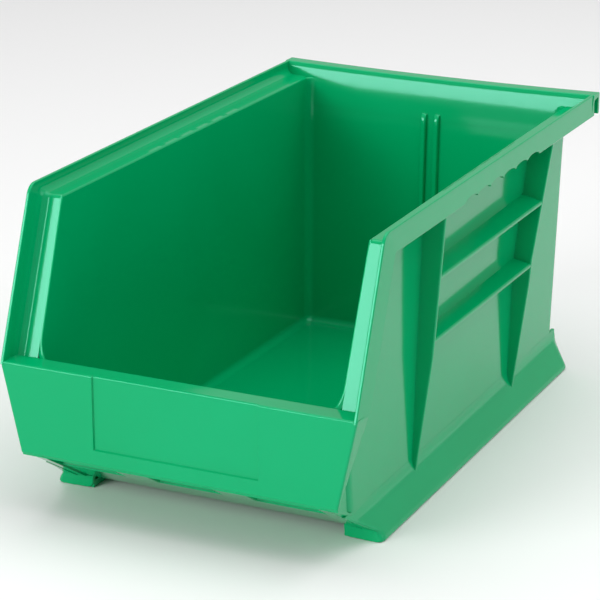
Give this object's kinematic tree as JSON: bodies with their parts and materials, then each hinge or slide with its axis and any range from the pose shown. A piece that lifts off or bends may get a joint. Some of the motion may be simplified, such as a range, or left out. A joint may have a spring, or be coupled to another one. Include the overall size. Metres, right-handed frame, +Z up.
{
  "type": "stackable storage bin",
  "caption": "Green moulded open-front storage bin with a stacking rim, rear hang hook, label panel, ribbed sides and flared feet.",
  "frame": {"origin": "middle of the bin's footprint on the surface that it stands on", "axes": "+Z up, the open label side faces -Y, the hang hook is at +Y, +X is the bin's right seen from the front"},
  "size_m": [0.2096, 0.3746, 0.1778],
  "materials": {
    "bin_plastic": "glossy moulded polypropylene"
  },
  "bodies": {
    "root": {"floor_plate": "bin_plastic", "floor_front_slope": "bin_plastic", "body_front_wall": "bin_plastic", "front_ledge": "bin_plastic", "label_panel": "bin_plastic", "panel_block_l": "bin_plastic", "panel_block_r": "bin_plastic", "front_corner_l": "bin_plastic", "front_corner_r": "bin_plastic", "side_wall_l": "bin_plastic", "side_wall_r": "bin_plastic", "rear_wall": "bin_plastic", "guide_rib_l": "bin_plastic", "guide_rib_r": "bin_plastic", "side_rim_l": "bin_plastic", "side_rim_r": "bin_plastic", "rear_rim": "bin_plastic", "hang_hook": "bin_plastic", "front_flange_l": "bin_plastic", "front_flange_r": "bin_plastic", "front_rib_l": "bin_plastic", "front_rib_r": "bin_plastic", "rear_rib_l": "bin_plastic", "rear_rib_r": "bin_plastic", "upper_shelf_l": "bin_plastic", "upper_shelf_r": "bin_plastic", "lower_shelf_l": "bin_plastic", "lower_shelf_r": "bin_plastic", "finger_grip_l": "bin_plastic", "finger_grip_r": "bin_plastic", "side_skirt_l": "bin_plastic", "side_skirt_r": "bin_plastic", "foot_cap_l": "bin_plastic", "foot_cap_r": "bin_plastic", "foot_runner_l": "bin_plastic", "foot_runner_r": "bin_plastic"}
  },
  "joints": []
}
